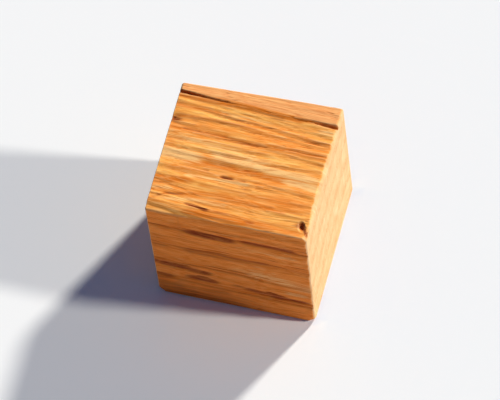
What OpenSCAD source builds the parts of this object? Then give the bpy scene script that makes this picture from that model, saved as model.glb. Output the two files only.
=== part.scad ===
// Wooden cube: one block of oak, ripped and crosscut from rough stock, with the
// fibres torn along its long faces.
// +X runs along the grain, +Y to the back and +Z up. The origin is the middle of
// the block's bounding box, on the flat base.

/* [Sawn size] */
// Length along the grain, measured along the top
length = 20.4; // [15:0.1:40]
// Depth across the grain, measured at the right end of the top
depth = 19.6; // [15:0.1:40]
// Height from the base to the top of the unbroken strip
height = 19.6; // [15:0.1:40]

/* [Out of square] */
// Lean of the left end, in towards the base, in degrees
left_lean = 2.2; // [0:0.1:4]
// Lean of the right end, out towards the base, in degrees
right_lean = 1.2; // [0:0.1:4]
// Turn of the front face in plan, which narrows the left end, in degrees
front_turn = 0.7; // [0:0.1:3]
// Turn of the back face in plan, which narrows the left end, in degrees
back_turn = 1.5; // [0:0.1:3]
// Lean of the back face, out towards the base, in degrees
back_lean = 1.5; // [0:0.1:3]

/* [Arrises] */
// Radius of an arris as the saw and handling left it
arris_r = 0.4; // [0.15:0.05:0.6]
// Width of the wear along the front top arris, at the left end
front_wear_w = 1.9; // [0.5:0.1:2.5]
// Slope of that wear, in degrees
front_wear_slope = 15; // [8:1:45]
// Length over which that wear fades out
front_wear_length = 14; // [4:0.5:15]
// Most that the right end's top arris has crumbled back, seen from above
end_wear_w = 0.7; // [0.2:0.05:1.2]
// Slope of that wear, in degrees
end_wear_slope = 50; // [20:1:70]
// Least that it has crumbled, as a share of the most
end_wear_least = 0.3; // [0.1:0.05:1]
// Bundles of fibres over which that loss evens out
end_wear_bundles = 4; // [1:1:6]
// How far the front corners of the base are knocked back
corner_loss = 0.6; // [0.2:0.05:1]

/* [Split strip] */
// Width of the unbroken strip along the back of the top, at the left end
strip_left_w = 1.4; // [0.8:0.1:4]
// Width of the strip at the right end
strip_right_w = 3.0; // [0.8:0.1:4]
// Height of the strip above the torn part of the top
strip_rise = 0.1; // [0.05:0.05:0.8]
// Reach of the open split at the strip's foot, in from the left end
left_split_reach = 4.8; // [2:0.1:12]
// Reach of the split at the right end
right_split_reach = 4.4; // [2:0.1:12]
// Depth of the splits where they meet the ends
split_depth = 0.6; // [0.3:0.05:1.5]
// Mouth of the splits where they meet the ends
split_mouth = 0.35; // [0.2:0.05:1.2]

/* [Torn grain] */
// Width of one bundle of fibres, the pitch of the torn faces' ridges
bundle_w = 0.55; // [0.4:0.05:1.5]
// Depth of the deepest fibres torn out of the top
top_tear = 0.2; // [0.1:0.02:0.8]
// Depth of the deepest fibres torn out of the front, the back and the worn arris
side_tear = 0.14; // [0.1:0.02:0.6]
// Depth of the deepest fibres torn out of the strip
strip_tear = 0.08; // [0.02:0.02:0.2]
// Least that any bundle of fibres is torn, as a share of the deepest
least_tear = 0.1; // [0.05:0.05:0.5]
// How rarely fibres are torn to the full depth: higher leaves more of a face whole
tear_rarity = 3; // [1:0.5:5]
// Angle at which the fibres of one layer cross those of the next, in degrees
fibre_cross = 4; // [1:0.5:8]
// Length of the chip torn out of the top, across the grain, by the right front corner
chip_length = 1.8; // [1.6:0.1:3]
// Width of that chip along the grain, where it is widest
chip_w = 0.7; // [0.3:0.05:0.8]
// Depth of that chip
chip_depth = 0.5; // [0.2:0.05:0.6]
// Distance of the chip's middle from the front face
chip_from_front = 1.9; // [1:0.1:4]
// Turn of the chip from square across the grain, in degrees
chip_turn = 20; // [0:1:45]

/* [Growth rings] */
// Height of one growth ring, as it shows on the front and back faces
ring_pitch = 4.0; // [2:0.1:6]
// Depth of the topmost ring line below the top
first_ring = 3.8; // [1:0.1:6]
// Fall of the ring lines from the left end to the right, in degrees
ring_fall = 1.5; // [0:0.1:5]
// Width of the soft early wood on each side of a ring line
soft_w = 1.1; // [0.4:0.1:1.8]
// Depth to which the soft wood has worn
soft_depth = 0.1; // [0.02:0.02:0.4]

/* [Hidden] */

// A length that reaches past the block from anywhere in it
far = 2 * max(length, depth, height);
ball_fn = 24;

// How far neighbouring cuts overlap, so that no skin of wood is left between them
lap = 0.02;

// How much longer and taller a split's cutter is than the split it leaves
past_ends = 1.2;
past_mouth = 2.5;

// Small splits in the top: shares of the length from the left and of the depth from
// the back, then run, mouth and depth in millimetres, and turn in degrees
top_split_rows = [
    [0.00, 0.28, 2.6, 0.40, 0.40, 0],
    [0.30, 0.35, 9.0, 0.25, 0.25, -3],
    [0.43, 0.66, 2.8, 0.25, 0.25, -2],
    [0.58, 0.71, 2.0, 0.25, 0.25, 0],
    [0.31, 0.91, 4.4, 0.30, 0.35, -3],
    [0.54, 0.92, 3.0, 0.25, 0.25, -3],
    [0.00, 0.84, 3.0, 0.30, 0.30, 3],
    [0.84, 0.33, 4.0, 0.25, 0.25, 0],
];

// Small splits in the front, the same with shares of the height from the top
front_split_rows = [
    [0.38, 0.19, 4.2, 0.35, 0.30, 0],
    [0.75, 0.20, 5.4, 0.30, 0.30, 1],
    [0.22, 0.62, 5.0, 0.30, 0.30, -2],
    [0.33, 0.71, 2.4, 0.35, 0.30, 0],
    [0.55, 0.73, 2.2, 0.25, 0.25, 0],
    [0.76, 0.74, 2.2, 0.30, 0.25, -3],
    [0.90, 0.79, 2.8, 0.35, 0.30, -2],
];

// Where each sawn face stands
function left_x(z) = -length / 2 + (height - z) * tan(left_lean);
function right_x(z) = length / 2 + (height - z) * tan(right_lean);
function front_y(x) = -depth / 2 + (length / 2 - x) * tan(front_turn);
function back_y(x, z) =
    depth / 2 - (length / 2 - x) * tan(back_turn) + (height - z) * tan(back_lean);

// Middle of the bounding box, between the faces' outermost corners
mid_x = (left_x(height) + right_x(0)) / 2;
mid_y = (front_y(right_x(0)) + back_y(right_x(0), 0)) / 2;

// The torn part of the top lies below the strip, which widens to the right
torn_z = height - strip_rise;
strip_turn = back_turn - atan((strip_right_w - strip_left_w) / length);

// Distance along an axis from a face turned by a and b to its parallel one unit inside
function inset(a, b = 0) = sqrt(1 + pow(tan(a), 2) + pow(tan(b), 2));

// Centre of the ball that eases one corner and the arrises that meet there
function ball_at(right, back, top) =
    let (z = top ? height - arris_r : arris_r)
    let (x = right ? right_x(z) - arris_r * inset(right_lean)
                   : left_x(z) + arris_r * inset(left_lean))
    [x, back ? back_y(x, z) - arris_r * inset(back_turn, back_lean)
             : front_y(x) + arris_r * inset(front_turn), z];

// Share of the soft wood's wear at a distance d below the top: 1 on a ring line
function softness(d) =
    let (off = abs(d - first_ring - ring_pitch * round((d - first_ring) / ring_pitch)))
    max(0, 1 - off / soft_w);

// The block as sawn. The balls have flat sides, which are set to lie arris_r out.
module sawn_blank() {
    hull()
        for (right = [false, true], back = [false, true], top = [false, true])
            translate(ball_at(right, back, top))
                sphere(arris_r / cos(180 / ball_fn), $fn = ball_fn);
}

// What is left under one run of torn fibres along X: a ragged line of bundles, up to
// tear below z = 0, from y = past to y = -far, and everything behind it. Where the
// run crosses growth rings it lies lower by the wear of the soft wood.
module left_under(tear, seed, soft = 0, past = 0) {
    first = -ceil(past / bundle_w);
    last = ceil(far / bundle_w);
    sunk = rands(0, 1, last - first + 1, seed);
    torn = [for (s = sunk) tear * (least_tear + (1 - least_tear) * pow(s, tear_rarity))];
    ragged = [for (i = [first:last])
        [-i * bundle_w, -torn[i - first] - soft * softness(i * bundle_w)]];
    rotate([90, 0, 90])
        linear_extrude(2 * far, center = true)
            polygon(concat([[-last * bundle_w, -far], [2 * far, -far], [2 * far, far],
                            [-first * bundle_w, far]], ragged));
}

// An open split along X in the plane z = 0 that closes towards both ends: a short
// stretch of the rim of a large sharp-edged wheel, which stands clear of the wood
module split(run, mouth, deep) {
    wheel_r = run * run / (8 * deep) + deep / 2;
    half_sweep = past_ends * asin(run / 2 / wheel_r);
    rim = past_mouth * [deep, mouth / 2];
    translate([0, 0, wheel_r - deep])
        rotate([90, 0, 0])
            rotate(-90 - half_sweep)
                rotate_extrude(angle = 2 * half_sweep, $fn = 360)
                    polygon([[wheel_r, 0], [wheel_r - rim.x, rim.y], [wheel_r - rim.x, -rim.y]]);
}

// Each of these lays its children on a face: X along the grain, Z out of the wood
module on_top(x, y) {
    translate([x, y, torn_z]) children();
}

module on_front(x, z) {
    translate([x, front_y(x), z]) rotate([90, 0, -front_turn]) children();
}

module on_back(x, z) {
    translate([x, back_y(x, z), z]) rotate([back_lean - 90, 0, back_turn]) children();
}

// The foot of the strip, from the left end
module on_strip_foot() {
    x = -length / 2;
    on_top(x, back_y(x, height) - strip_left_w) rotate(strip_turn) children();
}

// The runs of torn fibres, each turned a little from its neighbour. The top's runs
// start at the strip's foot, at its left end or its right one.
module left_top_run(turn, seed) {
    on_strip_foot() rotate(turn) left_under(top_tear, seed);
}

module right_top_run(turn, seed) {
    x = length / 2;
    on_top(x, back_y(x, height) - strip_right_w)
        rotate(strip_turn + turn) left_under(top_tear, seed);
}

module strip_run(seed) {
    translate([0, back_y(0, height), height])
        rotate(back_turn) left_under(strip_tear, seed);
}

module front_run(turn, seed, soft) {
    on_front(0, height) rotate(turn - ring_fall) left_under(side_tear, seed, soft, far);
}

module back_run(turn, seed, soft) {
    on_back(0, height) rotate(180 + ring_fall - turn) left_under(side_tear, seed, soft, far);
}

// The worn front arris, ragged along the grain and widest at the left end
module front_wear_run(seed) {
    x = -length / 2;
    on_top(x, front_y(x) + front_wear_w)
        rotate([front_wear_slope, 0, -atan(front_wear_w / front_wear_length)])
            left_under(side_tear, seed);
}

// The block with all its runs of fibres torn
module torn_block() {
    intersection() {
        sawn_blank();
        left_top_run(turn = 0, seed = 11);
        left_top_run(turn = -fibre_cross, seed = 5);
        right_top_run(turn = fibre_cross / 2, seed = 23);
        strip_run(seed = 3);
        front_wear_run(seed = 7);
        front_run(turn = 0, seed = 31, soft = soft_depth);
        front_run(turn = fibre_cross / 2, seed = 32, soft = 0);
        back_run(turn = 0, seed = 41, soft = soft_depth);
        back_run(turn = fibre_cross / 2, seed = 42, soft = 0);
    }
}

// The splits at the foot of the strip, deepest where they meet the ends
module strip_splits() {
    on_strip_foot() {
        split(2 * left_split_reach, split_mouth, split_depth);
        translate([length, 0, 0]) split(2 * right_split_reach, split_mouth, split_depth);
    }
}

module small_splits() {
    for (s = top_split_rows) {
        x = -length / 2 + s[0] * length;
        across = front_y(x) - back_y(x, height);
        on_top(x, back_y(x, height) + s[1] * across)
            rotate(s[5]) split(s[2], s[3], s[4]);
    }
    for (s = front_split_rows)
        on_front(-length / 2 + s[0] * length, height - s[1] * height)
            rotate(s[5]) split(s[2], s[3], s[4]);
}

// What crumbled off the right end's top arris, from the strip's foot to the front:
// each bundle of fibres has broken off a little further in or out than the next
module end_wear() {
    x = length / 2;
    foot_y = back_y(x, height) - strip_right_w;
    bundles = ceil((foot_y - front_y(x)) / bundle_w);
    loss = rands(end_wear_least, 1, bundles + end_wear_bundles, 9);
    for (i = [0:bundles - 1]) {
        evened = [for (k = [1:end_wear_bundles]) loss[i + k] / end_wear_bundles];
        broken = end_wear_w * (evened * [for (e = evened) 1]);
        on_top(x - broken, foot_y - (i + 1) * bundle_w)
            rotate([0, end_wear_slope, 0]) cube([far, bundle_w + lap, far]);
    }
}

// What was knocked off a front corner of the base
module corner_knock(right) {
    x = right ? right_x(0) : left_x(0);
    down_the_diagonal = 90 + atan(1 / sqrt(2));
    translate([x, front_y(x), 0])
        rotate([0, down_the_diagonal, right ? -45 : -135])
            translate([-far / 2, -far / 2, -corner_loss]) cube(far);
}

// The chip torn out of the top, across the grain, just in from the crumbled arris: a
// stretch of the rim of a small round-edged wheel
module chip() {
    x = length / 2 - end_wear_w - chip_w / 2;
    wheel_r = chip_length * chip_length / (8 * chip_depth) + chip_depth / 2;
    on_top(x, front_y(x) + chip_from_front)
        rotate(90 + chip_turn)
            translate([0, 0, wheel_r - chip_depth])
                rotate([90, 0, 0])
                    rotate_extrude($fn = 96)
                        translate([wheel_r - chip_w / 2, 0]) circle(d = chip_w, $fn = 48);
}

module oak_block() {
    color("peru")
        translate([-mid_x, -mid_y, 0])
            difference() {
                torn_block();
                strip_splits();
                small_splits();
                end_wear();
                chip();
                for (right = [false, true]) corner_knock(right);
            }
}

oak_block();
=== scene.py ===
"""A small cube of rough-sawn oak on a pale studio floor.

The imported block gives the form: its torn runs of fibres, splits and worn arrises. A
fine skin is laid over it, and the oak's own structure (growth rings, vessels, rays and
single fibres) is worked out once as fields in space, which both carve the skin and
colour it. Lengths are in millimetres until the mesh is handed to Blender.
"""

import math

import bpy
import numpy as np
from mathutils import Matrix, Vector
from mathutils.bvhtree import BVHTree


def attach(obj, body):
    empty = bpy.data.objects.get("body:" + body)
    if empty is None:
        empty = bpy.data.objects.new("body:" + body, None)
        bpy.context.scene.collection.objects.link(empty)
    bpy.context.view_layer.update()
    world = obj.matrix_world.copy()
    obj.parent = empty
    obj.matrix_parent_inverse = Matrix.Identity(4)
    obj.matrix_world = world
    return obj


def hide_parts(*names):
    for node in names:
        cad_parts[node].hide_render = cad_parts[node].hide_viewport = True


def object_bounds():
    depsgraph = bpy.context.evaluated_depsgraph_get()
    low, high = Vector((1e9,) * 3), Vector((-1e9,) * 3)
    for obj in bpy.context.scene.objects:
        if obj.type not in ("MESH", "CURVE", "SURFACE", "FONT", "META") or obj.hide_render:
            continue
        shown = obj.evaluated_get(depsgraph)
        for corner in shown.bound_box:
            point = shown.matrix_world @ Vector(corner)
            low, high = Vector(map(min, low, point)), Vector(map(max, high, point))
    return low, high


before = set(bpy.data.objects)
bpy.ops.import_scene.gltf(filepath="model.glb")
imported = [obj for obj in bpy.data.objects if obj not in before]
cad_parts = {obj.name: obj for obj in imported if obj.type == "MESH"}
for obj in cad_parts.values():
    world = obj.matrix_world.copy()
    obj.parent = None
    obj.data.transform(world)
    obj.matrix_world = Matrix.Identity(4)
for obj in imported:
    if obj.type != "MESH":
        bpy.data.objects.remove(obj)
cad_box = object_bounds()

MM = 0.001

# The block as sawn: its sizes, and how far each face leans or turns from square
LENGTH, DEPTH, HEIGHT = 20.4, 19.6, 19.6
LEFT_LEAN, RIGHT_LEAN = math.tan(math.radians(2.2)), math.tan(math.radians(1.2))
FRONT_TURN, BACK_TURN = math.tan(math.radians(0.7)), math.tan(math.radians(1.5))
BACK_LEAN = math.tan(math.radians(1.5))
STRIP_LEFT, STRIP_RIGHT = 1.4, 3.0
TORN_TOP = 19.5
CRUMBLED_IN, CRUMBLED_DOWN = 1.0, 1.1


def left_x(z):
    return -LENGTH / 2 + (HEIGHT - z) * LEFT_LEAN


def right_x(z):
    return LENGTH / 2 + (HEIGHT - z) * RIGHT_LEAN


def front_y(x):
    return -DEPTH / 2 + (LENGTH / 2 - x) * FRONT_TURN


def back_y(x, z):
    return DEPTH / 2 - (LENGTH / 2 - x) * BACK_TURN + (HEIGHT - z) * BACK_LEAN


MID_X = (left_x(HEIGHT) + right_x(0)) / 2
MID_Y = (front_y(right_x(0)) + back_y(right_x(0), 0)) / 2


# ---------------------------------------------------------------- nodes and colours


def linear(colour):
    """An sRGB hex colour as the linear RGBA that Blender's sockets take."""
    parts = [int(colour[i : i + 2], 16) / 255 for i in (1, 3, 5)]
    return [p / 12.92 if p <= 0.04045 else ((p + 0.055) / 1.055) ** 2.4 for p in parts] + [1]


def add(tree, kind, sockets=None, **settings):
    """Adds a node to a tree. sockets maps an input to a value, to the output it takes, or
    to a node, whose first output in use it takes."""
    node = tree.nodes.new(kind)
    for name, value in settings.items():
        setattr(node, name, value)
    for name, value in (sockets or {}).items():
        if isinstance(value, bpy.types.Node):
            value = next(output for output in value.outputs if output.enabled)
        if isinstance(value, bpy.types.NodeSocket):
            tree.links.new(value, node.inputs[name])
        else:
            node.inputs[name].default_value = value
    return node


# ------------------------------------------------------------- the oak's own structure

# The pith runs along X, well below the block, so the rings lie nearly level: the top is
# flat-sawn and the front and back are quarter-sawn
PITH = (0.0, 3.0, -38.0)
RING = 4.0
RING_LINE_BELOW_TOP = 3.8
RING_FALL = math.tan(math.radians(1.5))

# How long the lumps of each pattern are along the block, across it and up, in mm
LUMPS = {
    "vessel": (9.0, 0.4, 0.4),
    "strand": (6.0, 0.34, 0.34),
    "fibre": (2.6, 0.1, 0.1),
    "splinter": (8.0, 0.45, 0.45),
    "tone": (9.0, 1.8, 1.8),
}
DRIFT_LUMPS = (16.0, 12.0, 12.0)    # the grain's slow wandering
RAY_LUMPS = (12.0, 1.5, 24.0)       # along the block, round the pith and out from it


def oak(tree, place):
    """The structure of ring-porous oak at place, a vector in mm. It returns its fields:
    early, where the wide early wood of a ring is; line, the thin end of each ring;
    vessel, inside an open vessel; ray, inside a ray; strand and fibre, bundles and
    single fibres; splinter, a random share for each sliver; tone, slow changes."""
    # The grain wanders by a millimetre over the block's length
    slowly = add(tree, "ShaderNodeVectorMath",
                 {0: place, 1: [1 / mm for mm in DRIFT_LUMPS]}, operation="MULTIPLY")
    drift = add(tree, "ShaderNodeTexNoise", {"Vector": slowly, "Scale": 1.0, "Detail": 2.0})
    centred = add(tree, "ShaderNodeVectorMath",
                  {0: drift.outputs["Color"], 1: (0.5, 0.5, 0.5)}, operation="SUBTRACT")
    grained = add(tree, "ShaderNodeVectorMath",
                  {0: centred, 1: (0.0, 2.4, 2.4), 2: place}, operation="MULTIPLY_ADD")
    among = {
        name: add(tree, "ShaderNodeVectorMath",
                  {0: grained, 1: [1 / mm for mm in lump]}, operation="MULTIPLY")
        for name, lump in LUMPS.items()
    }

    # Distance from the pith, whose line rises to the left as the rings do
    from_pith = add(tree, "ShaderNodeVectorMath", {0: grained, 1: PITH}, operation="SUBTRACT")
    parts = add(tree, "ShaderNodeSeparateXYZ", {0: from_pith}).outputs
    above = add(tree, "ShaderNodeMath", {0: parts["X"], 1: RING_FALL, 2: parts["Z"]},
                operation="MULTIPLY_ADD")
    outwards = add(tree, "ShaderNodeCombineXYZ", {"Y": parts["Y"], "Z": above})
    radius = add(tree, "ShaderNodeVectorMath", {0: outwards}, operation="LENGTH")

    # How far through its ring a place is. Each begins with early wood and ends in a line
    line_radius = math.hypot(HEIGHT - RING_LINE_BELOW_TOP - PITH[2], DEPTH / 2 + PITH[1])
    past_line = add(tree, "ShaderNodeMath", {0: radius, 1: line_radius}, operation="SUBTRACT")
    rings_past = add(tree, "ShaderNodeMath", {0: past_line, 1: RING}, operation="DIVIDE")
    through = add(tree, "ShaderNodeMath", {0: rings_past}, operation="FRACT")
    early = add(tree, "ShaderNodeMapRange", {"Value": through, "From Min": 0.45, "From Max": 0.18},
                interpolation_type="SMOOTHSTEP")
    ending = add(tree, "ShaderNodeMapRange", {"Value": through, "From Min": 0.9, "From Max": 1.0},
                 interpolation_type="SMOOTHSTEP")
    begun = add(tree, "ShaderNodeMapRange", {"Value": through, "From Min": 0.08, "From Max": 0.0},
                interpolation_type="SMOOTHSTEP")
    line = add(tree, "ShaderNodeMath", {0: ending, 1: begun}, operation="MAXIMUM")

    # Vessels: 0.28 mm across in the early wood, at 0.4 mm from each other, 0.08 mm later
    vessels = add(tree, "ShaderNodeTexVoronoi", {"Vector": among["vessel"], "Scale": 1.0})
    reach = add(tree, "ShaderNodeMath", {0: early, 1: 0.25, 2: 0.1}, operation="MULTIPLY_ADD")
    inside = add(tree, "ShaderNodeMath", {0: reach, 1: vessels.outputs["Distance"]},
                 operation="SUBTRACT")
    vessel = add(tree, "ShaderNodeMapRange",
                 {"Value": inside, "From Min": -0.06, "From Max": 0.06},
                 interpolation_type="SMOOTHSTEP")

    # Rays: sheets from the pith outwards, 0.15 mm thick and a few millimetres high
    angle = add(tree, "ShaderNodeMath", {0: parts["Y"], 1: above}, operation="ARCTAN2")
    around = add(tree, "ShaderNodeMath", {0: angle, 1: HEIGHT - PITH[2]}, operation="MULTIPLY")
    rolled_flat = add(tree, "ShaderNodeCombineXYZ", {"X": parts["X"], "Y": around, "Z": radius})
    among_rays = add(tree, "ShaderNodeVectorMath",
                     {0: rolled_flat, 1: [1 / mm for mm in RAY_LUMPS]}, operation="MULTIPLY")
    sheets = add(tree, "ShaderNodeTexNoise", {"Vector": among_rays, "Scale": 1.0, "Detail": 0.0})
    off_middle = add(tree, "ShaderNodeMath", {0: sheets, 1: 0.5}, operation="SUBTRACT")
    off_sheet = add(tree, "ShaderNodeMath", {0: off_middle}, operation="ABSOLUTE")
    ray = add(tree, "ShaderNodeMapRange",
              {"Value": off_sheet, "From Min": 0.03, "From Max": 0.006},
              interpolation_type="SMOOTHSTEP")

    slivers = add(tree, "ShaderNodeTexVoronoi", {"Vector": among["splinter"], "Scale": 1.0})
    chance = add(tree, "ShaderNodeSeparateXYZ", {0: slivers.outputs["Color"]})
    fields = {"early": early, "line": line, "vessel": vessel, "ray": ray,
              "splinter": chance.outputs["X"]}
    for name, detail in (("strand", 2.0), ("fibre", 2.0), ("tone", 3.0)):
        fields[name] = add(tree, "ShaderNodeTexNoise",
                           {"Vector": among[name], "Scale": 1.0, "Detail": detail})
    return fields


# --------------------------------------------------------------------- the oak block

CELLS = (118, 184, 184)     # cells of the skin along X, Y and Z, up to 0.28 by 0.14 mm
EASE = (0.6, 0.3, 0.3)      # how much finer they are towards the arrises
BORDER = 6                  # rows of full-size cells round a smooth face, doubled inside
INSIDE_END = 0.06           # how far inside the ends the arrises' points are taken, in mm
FAR = 40.0                  # from outside the block to anywhere in it, in mm


def eased(count, ease):
    """Shares from 0 to 1 in count steps, which are finer towards both ends."""
    t = np.linspace(0, 1, count + 1)
    return [float(s) for s in t - ease * np.sin(2 * math.pi * t) / (2 * math.pi)]


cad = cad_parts["oak_block"].data
cad.calc_loop_triangles()
cad_points = [v.co / MM for v in cad.vertices]
surface = BVHTree.FromPolygons(cad_points, [t.vertices for t in cad.loop_triangles])


def laid(point, towards, deepest=1.0):
    """Where the line through a point, coming from outside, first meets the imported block.
    Where it passes the block's edge or runs into an open split, the nearest point."""
    hit = surface.ray_cast(point - FAR * towards, towards)[0]
    missed = hit is None or (hit - point).dot(towards) > deepest
    return surface.find_nearest(point)[0] if missed else hit


class Skin:
    """The block's surface as one closed grid of quads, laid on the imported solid: first the
    corners, then the arrises between them, then the faces between the arrises."""

    def __init__(self):
        self.number, self.points, self.side = {}, [], []
        self.faces, self.inwards = [], []
        self.shares = [eased(count, ease) for count, ease in zip(CELLS, EASE)]
        far_x, far_y, far_z = CELLS
        for i in (0, far_x):
            for j in (0, far_y):
                for k in (0, far_z):
                    self.corner(i, j, k)
        for j in (0, far_y):
            for k in (0, far_z):
                self.arris((0, j, k), (far_x, j, k), self.slanting(j, k), "top" if k else "base")
        for i in (0, far_x):
            for k in (0, far_z):
                down = Vector((0, 0, -1 if k else 1))
                self.arris((i, 0, k), (i, far_y, k), down, "top" if k else "base")
            for j in (0, far_y):
                inwards = Vector((0, -1 if j else 1, 0))
                self.arris((i, j, 0), (i, j, far_z), inwards, "back" if j else "front")
        self.face(0, 0, "left", smooth=True)
        self.face(0, far_x, "right", smooth=True)
        self.face(1, 0, "front")
        self.face(1, far_y, "back")
        self.face(2, 0, "base", smooth=True)
        self.face(2, far_z, "top")

    def put(self, key, point, side):
        self.number[key] = len(self.points)
        self.points.append(point)
        self.side.append(side)

    def at(self, key):
        return self.points[self.number[key]]

    @staticmethod
    def slanting(j, k):
        """Inwards across an arris that runs along the grain."""
        return Vector((0, -1 if j else 1, -1 if k else 1)).normalized()

    def corner(self, i, j, k):
        z = (HEIGHT if j else TORN_TOP) if k else 0
        x = right_x(z) - INSIDE_END if i else left_x(z) + INSIDE_END
        y = back_y(x, z) if j else front_y(x)
        place = Vector((x - MID_X, y - MID_Y, z))
        self.put((i, j, k), laid(place, self.slanting(j, k)), "top" if k else "base")

    def arris(self, start, end, towards, side):
        axis = next(a for a in range(3) if start[a] != end[a])
        for n in range(1, CELLS[axis]):
            place = self.at(start).lerp(self.at(end), self.shares[axis][n])
            self.put(start[:axis] + (n,) + start[axis + 1:], laid(place, towards), side)

    def face(self, axis, level, side, smooth=False):
        """A face across an axis, eased in from its four arrises and laid down along that
        axis. A smooth face has cells twice as wide inside its border."""
        a_axis, b_axis = (n for n in range(3) if n != axis)
        last_a, last_b = CELLS[a_axis], CELLS[b_axis]
        towards = Vector([(-1 if level else 1) * (n == axis) for n in range(3)])

        def key(a, b):
            return (a, b)[:axis] + (level,) + (a, b)[axis:]

        def coarse(a, b):
            return (smooth and BORDER <= a < last_a - BORDER and BORDER <= b < last_b - BORDER)

        for a in range(1, last_a):
            u = self.shares[a_axis][a]
            low = self.at(key(0, 0)).lerp(self.at(key(last_a, 0)), u)
            high = self.at(key(0, last_b)).lerp(self.at(key(last_a, last_b)), u)
            for b in range(1, last_b):
                if coarse(a, b) and coarse(a - 1, b - 1) and (a % 2 or b % 2):
                    continue
                v = self.shares[b_axis][b]
                across = self.at(key(0, b)).lerp(self.at(key(last_a, b)), u)
                up = self.at(key(a, 0)).lerp(self.at(key(a, last_b)), v)
                place = across + up - low.lerp(high, v)
                self.put(key(a, b), laid(place, towards, 0.25 if smooth else 1.0), side)

        turn = 1 if (axis == 1) == (level == 0) else -1

        def quad(*ring):
            self.faces.append([self.number[key(*spot)] for spot in ring[::turn]])
            self.inwards.append(tuple(towards))

        for a in range(last_a):
            for b in range(last_b):
                if not coarse(a, b):
                    quad((a, b), (a + 1, b), (a + 1, b + 1), (a, b + 1))
                elif a % 2 == 0 and b % 2 == 0:
                    ring = [(a, b)] + [(a + 1, b)] * (b == BORDER)
                    ring += [(a + 2, b)] + [(a + 2, b + 1)] * (a + 2 == last_a - BORDER)
                    ring += [(a + 2, b + 2)] + [(a + 1, b + 2)] * (b + 2 == last_b - BORDER)
                    ring += [(a, b + 2)] + [(a, b + 1)] * (a == BORDER)
                    quad(*ring)


# What the eye picks out on the top: lines along the grain, given by shares of the length
# from the left and of the depth from the back, then half the width in mm and a strength.
# Most are figure in the wood; those marked below are painted shade
TOP_BROWN = [
    # The first three lie in the split's two open ends: painted shade
    ([(0, 0.065), (0.08, 0.083)], 0.25, 0.6),
    ([(0.08, 0.085), (0.2, 0.095), (0.3, 0.1)], 0.25, 0.5),
    ([(0.9, 0.15), (0.98, 0.163)], 0.22, 0.5),
    ([(0.19, 0.13), (0.24, 0.13)], 0.25, 0.4),
    ([(0.6, 0.165), (0.65, 0.165)], 0.25, 0.4),
    ([(0, 0.28), (0.015, 0.28)], 0.6, 0.9),
    ([(0.17, 0.22), (0.19, 0.22)], 0.3, 0.35),
    ([(0.135, 0.275), (0.15, 0.275)], 0.25, 0.5),
    ([(0.32, 0.21), (0.34, 0.21)], 0.25, 0.4),
    ([(0.1, 0.345), (0.3, 0.352), (0.5, 0.375)], 0.22, 0.5),
    ([(0.53, 0.365), (0.56, 0.37)], 0.25, 0.3),
    ([(0.73, 0.31), (0.78, 0.315)], 0.25, 0.3),
    ([(0.85, 0.325), (0.95, 0.33)], 0.25, 0.4),
    ([(0.88, 0.43), (0.95, 0.4)], 0.3, 0.3),
    ([(0.26, 0.52), (0.37, 0.535)], 0.3, 0.35),
    ([(0.41, 0.657), (0.45, 0.657)], 0.28, 0.8),
    ([(0.5, 0.66), (0.535, 0.66)], 0.25, 0.6),
    ([(0.555, 0.715), (0.565, 0.715)], 0.35, 0.45),
    ([(0.02, 0.72), (0.05, 0.725)], 0.25, 0.4),
    ([(0.05, 0.775), (0.1, 0.765)], 0.25, 0.4),
    ([(0, 0.91), (0.03, 0.9)], 0.3, 0.5),
    ([(0.03, 0.89), (0.1, 0.85), (0.19, 0.833)], 0.28, 0.5),
    ([(0.25, 0.9), (0.3, 0.905), (0.35, 0.92)], 0.3, 0.9),
    ([(0.44, 0.915), (0.52, 0.92)], 0.4, 0.45),
    ([(0.62, 0.95), (0.645, 0.95)], 0.28, 0.6),
    # Along the rounded front arris: painted shade
    ([(0.4, 0.955), (0.7, 0.965)], 0.45, 0.35),
    # Inside the chip torn from the right arris: painted shade
    ([(0.96, 0.895), (0.985, 0.945)], 0.5, 1.0),
]
TOP_AMBER = [
    ([(0, 0.1), (0.2, 0.11), (0.4, 0.12), (0.75, 0.15)], 0.5, 0.8),
    ([(0, 0.175), (0.2, 0.18), (0.3, 0.19)], 0.5, 0.7),
    ([(0.05, 0.25), (0.3, 0.25), (0.5, 0.26)], 0.4, 0.6),
    ([(0.75, 0.185), (0.92, 0.19)], 0.4, 0.5),
    ([(0.03, 0.345), (0.5, 0.375), (0.9, 0.38)], 0.5, 0.7),
    ([(0.88, 0.43), (0.95, 0.44)], 0.8, 0.5),
    ([(0.24, 0.545), (0.33, 0.55), (0.45, 0.56)], 0.35, 0.6),
    ([(0.2, 0.585), (0.4, 0.58), (0.6, 0.59), (0.75, 0.6)], 0.55, 1.0),
    ([(0.1, 0.65), (0.3, 0.625), (0.5, 0.62)], 0.8, 0.5),
    ([(0, 0.75), (0.18, 0.73)], 0.7, 0.8),
    ([(0.19, 0.833), (0.32, 0.8), (0.5, 0.8), (0.8, 0.83)], 0.35, 0.8),
    ([(0.3, 0.745), (0.6, 0.75), (0.9, 0.76)], 0.4, 0.6),
    # These two follow the top where it rounds over to the front: painted shade
    ([(0.4, 0.92), (0.9, 0.96)], 0.7, 0.7),
    ([(0.28, 0.955), (0.5, 0.96), (0.75, 0.965)], 0.6, 1.0),
]
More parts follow.
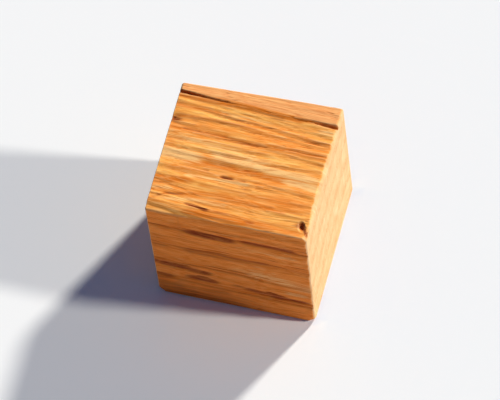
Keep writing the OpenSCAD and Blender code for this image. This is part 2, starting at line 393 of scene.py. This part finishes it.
TOP_PALE = [
    ([(0.3, 0.18), (0.6, 0.2)], 0.3, 0.5),
    ([(0.93, 0.2), (1, 0.21)], 0.5, 0.6),
    ([(0, 0.4), (0.15, 0.42), (0.3, 0.44), (0.6, 0.49)], 0.8, 0.5),
    ([(0, 0.54), (0.16, 0.545)], 0.9, 1.0),
    ([(0.35, 0.51), (0.55, 0.525), (0.7, 0.55), (0.92, 0.56)], 0.6, 0.9),
    ([(0.82, 0.6), (1, 0.63)], 0.7, 0.8),
    ([(0.2, 0.69), (0.55, 0.68)], 0.3, 0.7),
    ([(0.02, 0.82), (0.1, 0.81)], 0.35, 0.6),
    ([(0.12, 0.89), (0.28, 0.855), (0.45, 0.86)], 0.35, 0.6),
    ([(0.04, 0.945), (0.25, 0.955)], 0.8, 0.2),
]
# The same on the front, with shares of the height from the top
FRONT_BROWN = [
    ([(0.17, 0.14), (0.24, 0.15)], 0.5, 0.4),
    ([(0.3, 0.2), (0.48, 0.21)], 0.7, 0.9),
    ([(0.63, 0.19), (0.88, 0.19)], 0.6, 0.8),
    ([(0.08, 0.21), (0.12, 0.21)], 0.5, 0.4),
    ([(0.05, 0.42), (0.1, 0.42)], 0.5, 0.5),
    ([(0.27, 0.42), (0.55, 0.42), (0.72, 0.41)], 0.7, 0.5),
    ([(0, 0.63), (0.02, 0.63)], 0.6, 0.8),
    ([(0.1, 0.64), (0.2, 0.645)], 0.65, 0.9),
    ([(0.26, 0.655), (0.34, 0.66)], 0.55, 0.8),
    ([(0.29, 0.74), (0.36, 0.745)], 0.7, 1.0),
    ([(0, 0.77), (0.1, 0.785)], 0.6, 0.6),
    ([(0.53, 0.74), (0.58, 0.74)], 0.5, 0.5),
    ([(0.63, 0.755), (0.7, 0.76)], 0.6, 0.8),
    ([(0.75, 0.75), (0.8, 0.76)], 0.55, 0.8),
    ([(0.8, 0.785), (0.94, 0.785)], 0.55, 0.9),
    ([(0.25, 0.88), (0.45, 0.86)], 0.8, 0.5),
    # Towards the base on the left: painted shade
    ([(0, 0.9), (0.45, 0.95)], 2.2, 0.55),
]
FRONT_PALE = [
    ([(0.6, 0.27), (0.9, 0.27)], 0.6, 0.4),
    ([(0.7, 0.54), (1, 0.62)], 1.6, 0.5),
    ([(0.88, 0.7), (0.95, 0.7)], 0.5, 0.5),
]


def painted(lines, across, down, width_mm, height_mm):
    """How strongly lines mark points at those shares: full on a line, fading to its
    width, and fading over a longer way past its ends, as figure along the grain does."""
    strength = np.zeros(len(across))
    for course, half_width, full in lines:
        for (u0, v0), (u1, v1) in zip(course, course[1:]):
            run = max(u1 - u0, 1e-6)
            t = np.clip((across - u0) / run, 0, 1)
            off = (down - v0 - (v1 - v0) * t) * height_mm
            past = (np.maximum(u0 - across, 0) + np.maximum(across - u1, 0)) * width_mm
            near = np.exp(-((off / half_width) ** 2) - (past / (2.5 * half_width)) ** 2)
            strength = np.maximum(strength, full * near)
    return strength


def smoothed(values, edges, rounds):
    """Values at the points, averaged with their neighbours' that many times."""
    count = np.bincount(edges.ravel(), minlength=len(values))
    for _ in range(rounds):
        total = np.bincount(edges[:, 0], values[edges[:, 1]], len(values))
        total += np.bincount(edges[:, 1], values[edges[:, 0]], len(values))
        values = 0.5 * values + 0.5 * total / count
    return values


def evened(places, edges, rounds):
    return np.stack([smoothed(places[:, axis], edges, rounds) for axis in range(3)], 1)


def store(mesh, name, values):
    """Keeps one number for each point, for the carving and the finish to read."""
    layer = mesh.attributes.new(name, "FLOAT", "POINT")
    layer.data.foreach_set("value", np.asarray(values, np.float32))


skin = Skin()
points = np.array([tuple(p) for p in skin.points])
mesh = bpy.data.meshes.new("oak_block_skin")
mesh.from_pydata(MM * points, [], skin.faces)

# The crumbled arris has lost its sharp steps to handling: points near it are evened out
edges = np.array([tuple(e.vertices) for e in mesh.edges])
crumbled = np.minimum(points[:, 0] + MID_X - right_x(HEIGHT) + CRUMBLED_IN,
                      points[:, 2] - TORN_TOP + CRUMBLED_DOWN)
points += np.clip(crumbled / 0.3, 0, 1)[:, None] * (evened(points, edges, 3) - points)

x, y, z = (points + (MID_X, MID_Y, 0)).T
side = np.array(skin.side)
on_top, on_front, on_back = side == "top", side == "front", side == "back"
on_base = side == "base"
from_left = (x - left_x(HEIGHT)) / LENGTH
back_line = back_y(x, HEIGHT)
from_back = (back_line - y) / (back_line - front_y(x))
strip_foot = STRIP_LEFT + (STRIP_RIGHT - STRIP_LEFT) * from_left
past_foot = back_line - y - strip_foot
on_strip = on_top & (past_foot < 0)

# The strip has split away at its two ends alone: along its middle the torn wood still
# rises to meet it
# An amber line along the strip's foot is painted shade, standing in for the step's shadow
at_foot = on_top * np.exp(-((past_foot / 0.3) ** 2))
unsplit = np.clip(3.0 - np.abs(from_left - 0.52) * LENGTH / 1.5, 0, 1)
risen = on_top * ~on_strip * unsplit * np.exp(-((past_foot / 0.9) ** 2))
points[:, 2] += 0.09 * risen
mesh.vertices.foreach_set("co", np.ravel(MM * points).astype(np.float32))
mesh.update()

# What each point is marked with: the piece of the block it lies on, and its streaks, some of which
# are painted shade
store(mesh, "on_strip", on_strip)
# The left end sits in shade; it is marked to be painted deeper and warmer
store(mesh, "on_left", side == "left")
# The front sits in shade and the back is lit: all of the front and less of the back take the sides'
# deeper orange, as painted warmth of shade
store(mesh, "on_side", on_front + 0.45 * on_back)
top_place = (from_left, from_back, LENGTH, DEPTH)
front_place = (from_left, 1 - z / HEIGHT, LENGTH, HEIGHT)
# Brown: streaks in the wood, and painted shade in the split's ends, a chip, along the front arris
# and towards the front's base
brown = on_top * painted(TOP_BROWN, *top_place)
brown = np.maximum(brown, on_front * painted(FRONT_BROWN, *front_place))
store(mesh, "brown", brown)
# Amber: streaks in the wood, and painted shade along the strip's foot and the rounded front arris
store(mesh, "amber", np.maximum(on_top * painted(TOP_AMBER, *top_place), at_foot))
pale = on_top * painted(TOP_PALE, *top_place) + on_front * painted(FRONT_PALE, *front_place)
store(mesh, "pale", pale)

# End grain is where the surface faces along the block, but not inside a torn chip
facing = np.zeros(points.size, np.float32)
mesh.vertex_normals.foreach_get("vector", facing)
across_grain = np.clip((np.abs(facing.reshape(-1, 3)[:, 0]) - 0.5) / 0.3, 0, 1)
store(mesh, "end_grain", across_grain * (1 - brown))

# How deep the saw tore: most on the top, less where it is pale and hard, and least on
# end grain and where handling has worn the front arris
rough = (on_top & ~on_strip) + 0.45 * on_strip + 0.55 * (on_front | on_back) + 0.12 * on_base
rough *= (1 - across_grain) * (1 - 0.5 * pale)
worn = on_top * np.clip((from_back - 0.89) / 0.03, 0, 1)
rough *= 1 - 0.8 * worn
store(mesh, "rough", rough + 0.02 * across_grain)

block = bpy.data.objects.new("oak_block_skin", mesh)
bpy.context.scene.collection.objects.link(block)
mesh.shade_smooth()


def torn_relief():
    """Carves the skin inwards by the oak's own structure."""
    tree = bpy.data.node_groups.new("torn_relief", "GeometryNodeTree")
    for way in ("INPUT", "OUTPUT"):
        tree.interface.new_socket(name="Geometry", in_out=way, socket_type="NodeSocketGeometry")
    given, kept = add(tree, "NodeGroupInput"), add(tree, "NodeGroupOutput")
    here = add(tree, "GeometryNodeInputPosition")
    place = add(tree, "ShaderNodeVectorMath", {0: here, "Scale": 1 / MM}, operation="SCALE")
    wood = oak(tree, place)
    brown, rough_here = (
        add(tree, "GeometryNodeInputNamedAttribute", {"Name": name}, data_type="FLOAT")
        for name in ("brown", "rough")
    )
    slivers = add(tree, "ShaderNodeMath", {0: wood["splinter"], 1: 2.0}, operation="POWER")
    bundles = add(tree, "ShaderNodeMapRange",
                  {"Value": wood["strand"], "From Min": 0.65, "From Max": 0.35},
                  interpolation_type="SMOOTHSTEP")
    broken = add(tree, "ShaderNodeMath", {0: wood["strand"], 1: 1.2, 2: brown},
                 operation="MULTIPLY_ADD")
    furrows = add(tree, "ShaderNodeMapRange",
                  {"Value": broken, "From Min": 0.85, "From Max": 1.4},
                  interpolation_type="SMOOTHSTEP")

    # How deep in mm each goes: slivers torn out, the hollows between bundles of fibres,
    # vessels laid open, soft early wood worn, and the brown furrows
    depths = [(slivers, 0.07), (bundles, 0.05), (wood["vessel"], 0.07), (wood["early"], 0.03),
              (furrows, 0.1)]
    torn = 0.0
    for field, depth in depths:
        torn = add(tree, "ShaderNodeMath", {0: field, 1: depth, 2: torn},
                   operation="MULTIPLY_ADD")
    deep = add(tree, "ShaderNodeMath", {0: torn, 1: rough_here}, operation="MULTIPLY")
    downwards = add(tree, "ShaderNodeMath", {0: deep, 1: -MM}, operation="MULTIPLY")
    outwards = add(tree, "GeometryNodeInputNormal")
    inward = add(tree, "ShaderNodeVectorMath", {0: outwards, "Scale": downwards},
                 operation="SCALE")
    moved = add(tree, "GeometryNodeSetPosition", {"Geometry": given, "Offset": inward})
    tree.links.new(moved.outputs[0], kept.inputs[0])
    return tree


carve = block.modifiers.new("torn_relief", "NODES")
carve.node_group = torn_relief()
graph = bpy.context.evaluated_depsgraph_get()
carved = bpy.data.meshes.new_from_object(block.evaluated_get(graph), depsgraph=graph)
block.modifiers.clear()
block.data = carved
bpy.data.meshes.remove(mesh)

# Where the grid has folded over itself at a steep step, its points are spread again
final = np.zeros(points.size, np.float32)
carved.vertices.foreach_get("co", final)
final = np.clip(final.reshape(-1, 3), *np.array(cad_box)).astype(float) / MM
inwards = np.array(skin.inwards)
turned = np.zeros(inwards.size, np.float32)
for _ in range(12):
    carved.vertices.foreach_set("co", np.ravel(final * MM).astype(np.float32))
    carved.update()
    carved.polygons.foreach_get("normal", turned)
    folded = np.zeros(len(final))
    for number in np.flatnonzero((turned.reshape(-1, 3) * inwards).sum(1) > 0):
        folded[skin.faces[number]] = 1
    near = smoothed(folded, edges, 2) > 0
    final[near] = evened(final, edges, 1)[near]

# How far each point lies below what is round it, for the painted shade in the furrows and the
# painted highlight on the ridges
normals = np.zeros(final.size, np.float32)
carved.vertex_normals.foreach_get("vector", normals)
normals = normals.reshape(-1, 3)
around = evened(final, edges, 12)
hollow = ((around - final) * normals).sum(1) / 0.07
store(carved, "hollow", np.clip(hollow * (1 - 0.8 * at_foot * unsplit), -1, 1))

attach(block, "root")
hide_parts("oak_block")


def coated(tree, under, coats):
    """Colours laid over one another, as nodes. Each coat gives the share of the wood that
    takes it, how strongly it does, and the colour."""
    for share, strength, colour in coats:
        taken = add(tree, "ShaderNodeMath", {0: share, 1: strength}, operation="MULTIPLY")
        under = add(tree, "ShaderNodeMix", {"Factor": taken, 6: under, 7: linear(colour)},
                    data_type="RGBA")
    return under


def rough_sawn_oak():
    """Oak, ripped and crosscut with a coarse saw and left raw. The eye gets a warm honey
    ground, brown streaks of open vessels and early wood, dark torn furrows between pale
    raised fibres, and much paler, smoother end grain with fine pores. Painted shade darkens
    the furrows, a chip, the split's ends, the rounded front arris, the front's base, the
    strip's foot and the shaded left end, and a painted highlight lightens the raised ridges;
    the front, in shade, is painted a warmer orange than the lit back."""
    finish = bpy.data.materials.new("rough_sawn_oak")
    finish.use_nodes = True
    tree = finish.node_tree
    shader = tree.nodes["Principled BSDF"]
    spot = add(tree, "ShaderNodeTexCoord")
    place = add(tree, "ShaderNodeVectorMath", {0: spot.outputs["Object"], "Scale": 1 / MM},
                operation="SCALE")
    wood = oak(tree, place)
    marks = {
        name: add(tree, "ShaderNodeAttribute", attribute_name=name).outputs["Fac"]
        for name in ("end_grain", "on_left", "on_side", "on_strip", "hollow",
                     "amber", "pale", "brown")
    }

    # The streaks' edges are broken up by the fibres and their bundles
    for name in ("amber", "pale", "brown"):
        for field, share in (("fibre", 0.8), ("strand", 0.6)):
            marks[name] = add(tree, "ShaderNodeMath", {0: wood[field], 1: share, 2: marks[name]},
                              operation="MULTIPLY_ADD")
        marks[name] = add(tree, "ShaderNodeMapRange",
                          {"Value": marks[name], "From Min": 0.9, "From Max": 1.5},
                          interpolation_type="SMOOTHSTEP")

    # What takes a coat of its own: each rises from none at one value of a field to all at
    # the other
    steps = {
        "slow_tone": (wood["tone"], 0.3, 0.7),
        "light_fibre": (wood["fibre"], 0.42, 0.7),
        "dark_fibre": (wood["fibre"], 0.55, 0.3),
        # The furrow coat darkens where the skin lies below its surroundings: painted shade. The
        # ridge coat lightens where it stands above them: painted highlight
        "furrow_painted_shade": (marks["hollow"], 0.1, 0.9),
        "ridge_painted_highlight": (marks["hollow"], -0.1, -0.8),
    }
    grows = {
        name: add(tree, "ShaderNodeMapRange", {"Value": field, "From Min": none, "From Max": full},
                  interpolation_type="SMOOTHSTEP")
        for name, (field, none, full) in steps.items()
    }

    # Long grain: orange-honey late wood, redder early wood, the quarter-sawn sides deeper in
    # colour, and a strip split fresh and pinker. The front, which sits in shade, takes all of
    # the sides' deeper orange and the lit back less of it: painted warmth of shade. The sides'
    # early wood shows more, and their light fibres less. Hard pale fibres take up the least
    # of the brown marks. The furrows take painted shade and the raised ridges a painted highlight
    soft = add(tree, "ShaderNodeMath", {0: marks["on_side"], 1: 0.25, 2: 0.4},
               operation="MULTIPLY_ADD")
    bright = add(tree, "ShaderNodeMath", {0: marks["on_side"], 1: -0.15, 2: 0.38},
                 operation="MULTIPLY_ADD")
    taken_up = add(tree, "ShaderNodeMapRange",
                   {"Value": wood["fibre"], "From Min": 0.34, "From Max": 0.62,
                    "To Min": 1.0, "To Max": 0.6}, interpolation_type="SMOOTHSTEP")
    long_grain = coated(tree, linear("#F89234"), [
        (grows["slow_tone"], 1.0, "#FFB656"),
        # Deeper orange, all on the shaded front and less on the lit back: painted warmth of shade
        (marks["on_side"], 1.0, "#FF9230"),
        (marks["on_strip"], 1.0, "#F9AB66"),
        (wood["early"], soft, "#E67A12"),
        # Amber marks: streaks, and painted shade at the strip's foot and front arris
        (marks["amber"], 1.0, "#DC7612"),
        (marks["pale"], 0.95, "#FFC87E"),
        (grows["light_fibre"], bright, "#FFCA80"),
        (grows["dark_fibre"], 0.45, "#D0640A"),
        (wood["line"], 0.4, "#B4540A"),
        (wood["ray"], 0.25, "#DA8238"),
        (wood["vessel"], 0.45, "#AC4C06"),
        # Painted shade in the furrows
        (grows["furrow_painted_shade"], 0.5, "#9C4000"),
        # Painted highlight on the raised ridges
        (grows["ridge_painted_highlight"], bright, "#FFCE8E"),
        # Brown marks: streaks, and painted shade in the split's ends, a chip, the front arris and
        # base
        (marks["brown"], taken_up, "#802A00"),
    ])

    # End grain: pale cream where the saw cut the fibres across, with pores 0.3 mm wide in
    # the early wood, and thin lighter rays that run from the pith through the rings. The
    # left end, which sits in shade, is painted deeper and warmer: painted shade. The furrows
    # take painted shade here too
    end_grain = coated(tree, linear("#D8AE79"), [
        (grows["slow_tone"], 1.0, "#E3BE8A"),
        (wood["early"], 0.3, "#E0A268"),
        (wood["line"], 0.25, "#CC9058"),
        (wood["ray"], 0.3, "#F8D5A8"),
        # The shaded left end, deeper and warmer: painted shade
        (marks["on_left"], 0.6, "#D08840"),
        (wood["vessel"], 0.25, "#B5793F"),
        # Painted shade in the end grain's furrows
        (grows["furrow_painted_shade"], 0.4, "#A86F37"),
    ])
    colour = add(tree, "ShaderNodeMix",
                 {"Factor": marks["end_grain"], 6: long_grain, 7: end_grain}, data_type="RGBA")
    tree.links.new(colour.outputs[2], shader.inputs["Base Color"])
    dull = add(tree, "ShaderNodeMapRange", {"Value": wood["vessel"], "To Min": 0.72, "To Max": 0.9},
               interpolation_type="SMOOTHSTEP")
    tree.links.new(dull.outputs[0], shader.inputs["Roughness"])
    shader.inputs["IOR"].default_value = 1.45
    shader.inputs["Specular IOR Level"].default_value = 0.2

    # Single fibres and the vessels' mouths, finer than the skin's own points
    mouths = add(tree, "ShaderNodeMath", {0: wood["vessel"], 1: -0.8}, operation="MULTIPLY")
    fine = add(tree, "ShaderNodeMath", {0: wood["fibre"], 1: 0.5, 2: mouths},
               operation="MULTIPLY_ADD")
    bump = add(tree, "ShaderNodeBump", {"Height": fine, "Strength": 0.8, "Distance": 0.06 * MM})
    tree.links.new(bump.outputs[0], shader.inputs["Normal"])
    return finish


block.data.materials.clear()
block.data.materials.append(rough_sawn_oak())

# ------------------------------------------------------------- floor, light and camera


def sky_filled(out_from, along, ends, height):
    """The share of a matt board's light that would come from where a wall stands, at points
    so far out from the wall and along it."""
    out_from = np.maximum(out_from, 0.05 * MM)
    slant = np.hypot(out_from, height)
    below, above = (np.arctan((end - along) / out_from)
                    - out_from / slant * np.arctan((end - along) / slant) for end in ends)
    return (above - below) / (2 * math.pi)


def seen_directly(tree):
    """1 where the camera, a gloss or a glass sees the surface, and 0 where a matt one does."""
    rays = add(tree, "ShaderNodeLightPath")
    sharp = add(tree, "ShaderNodeMath", {0: rays.outputs["Is Camera Ray"],
                                         1: rays.outputs["Is Glossy Ray"]}, operation="MAXIMUM")
    return add(tree, "ShaderNodeMath", {0: sharp, 1: rays.outputs["Is Transmission Ray"]},
               operation="MAXIMUM")


def studio_floor():
    """A sheet of matt white board, which throws light back up into the shaded side. Its
    cells are 0.4 mm wide under the block's middle and 1.4 mm at its sides, and wider beyond."""
    reach, bunching, under = 3.0, 7.5, -0.02 * MM
    spread = reach * np.sinh(bunching * np.linspace(-1, 1, 121)) / math.sinh(bunching)
    count = len(spread)
    fx, fy = (grid.ravel() for grid in np.meshgrid(spread, spread))
    places = np.stack([fx, fy, np.full(fx.size, under)], axis=-1)
    first = (np.arange(count - 1)[:, None] * count + np.arange(count - 1)).ravel()
    faces = np.stack([first, first + 1, first + count + 1, first + count], axis=-1)
    sheet = bpy.data.meshes.new("floor")
    sheet.from_pydata(places.tolist(), [], faces.tolist())

    # The block's two lit sides throw orange light on the board at their feet. The board is
    # deeper there by as much, so that it shows as one even white. The colours are those of
    # the open board's light and of what each side adds to it, less the sky it hides
    high, rounded = 19.2 * MM, 0.25 * MM
    (x_low, y_low, _), (x_high, y_high, _) = cad_box
    right = sky_filled(fx - x_high, fy, (y_low + rounded, y_high - rounded), high)
    right *= fx > x_high - 1 * MM
    back = sky_filled(fy - y_high, fx, (x_low + rounded, x_high - rounded), high)
    back *= fy > y_high - 1 * MM
    level = np.array([0.972, 0.983, 1.020])
    from_end_grain = right[:, None] * np.array([0.93, 0.58, 0.15])
    from_long_grain = back[:, None] * np.array([1.0, 0.34, -0.06])
    share = level / (level + from_end_grain + from_long_grain)
    sheet.attributes.new("share", "FLOAT_VECTOR", "POINT").data.foreach_set("vector", share.ravel())

    board = bpy.data.materials.new("matt_white_board")
    board.use_nodes = True
    tree = board.node_tree
    shader = tree.nodes["Principled BSDF"]
    shared = add(tree, "ShaderNodeAttribute", attribute_name="share")
    white = add(tree, "ShaderNodeVectorMath",
                {0: shared.outputs["Vector"], 1: linear("#F7F7F4")[:3]}, operation="MULTIPLY")
    colour = add(tree, "ShaderNodeMix",
                 {"Factor": seen_directly(tree), 6: linear("#FBF2EE"), 7: white},
                 data_type="RGBA")
    tree.links.new(colour.outputs[2], shader.inputs["Base Color"])
    shader.inputs["Roughness"].default_value = 0.9
    shader.inputs["Specular IOR Level"].default_value = 0.1
    sheet.materials.append(board)
    floor = bpy.data.objects.new("floor", sheet)
    bpy.context.scene.collection.objects.link(floor)
    return floor


studio_floor()


def lamp(name, azimuth, elevation, softness, on_floor):
    """A distant lamp, azimuth degrees round from the back towards the right, that gives a
    level floor that share (on_floor) of the light which shows white as white."""
    light = bpy.data.lights.new(name, "SUN")
    light.angle = math.radians(softness)
    light.energy = math.pi * on_floor / math.sin(math.radians(elevation))
    light.color = linear("#FFFDF7")[:3]
    lamp_object = bpy.data.objects.new(name, light)
    a, e = math.radians(azimuth), math.radians(elevation)
    towards = Vector((math.sin(a) * math.cos(e), math.cos(a) * math.cos(e), math.sin(e)))
    lamp_object.rotation_euler = towards.to_track_quat("Z", "Y").to_euler()
    bpy.context.scene.collection.objects.link(lamp_object)


# One lamp stands behind the block and a little to its right, the other to its right
lamp("back_lamp", 26.2, 31.4, 5.0, 0.557)
lamp("right_lamp", 82.8, 33.0, 5.0, 0.352)

world = bpy.data.worlds.new("pale_room")
bpy.context.scene.world = world
world.use_nodes = True
room = world.node_tree
room.nodes.clear()
fill = add(room, "ShaderNodeBackground", {"Color": linear("#A1BCFF"), "Strength": 0.175})
shown = add(room, "ShaderNodeBackground", {"Color": linear("#F4F4F4"), "Strength": 1.0})
either = add(room, "ShaderNodeMixShader",
             {0: seen_directly(room), 1: fill, 2: shown})
add(room, "ShaderNodeOutputWorld", {"Surface": either})

scene = bpy.context.scene
scene.view_settings.view_transform = "Standard"

# The camera looks down on the front, a little from the right, through a long lens, and
# is tipped slightly so that the block's uprights lean
AZIMUTH, ELEVATION, ROLL = (math.radians(a) for a in (18.35, 58.26, -4.98))
DISTANCE = 0.79
view = bpy.data.cameras.new("camera")
view.sensor_width = 36
view.lens = 460
view.clip_start, view.clip_end = 0.05, 20
camera = bpy.data.objects.new("camera", view)
away = Vector((math.sin(AZIMUTH) * math.cos(ELEVATION),
               -math.cos(AZIMUTH) * math.cos(ELEVATION), math.sin(ELEVATION)))
rolled = away.to_track_quat("Z", "Y").to_matrix() @ Matrix.Rotation(ROLL, 3, "Z")
place = Vector((0, 0, 9.5 * MM)) + DISTANCE * away
camera.matrix_world = Matrix.Translation(place) @ rolled.to_4x4()
scene.collection.objects.link(camera)
scene.camera = camera
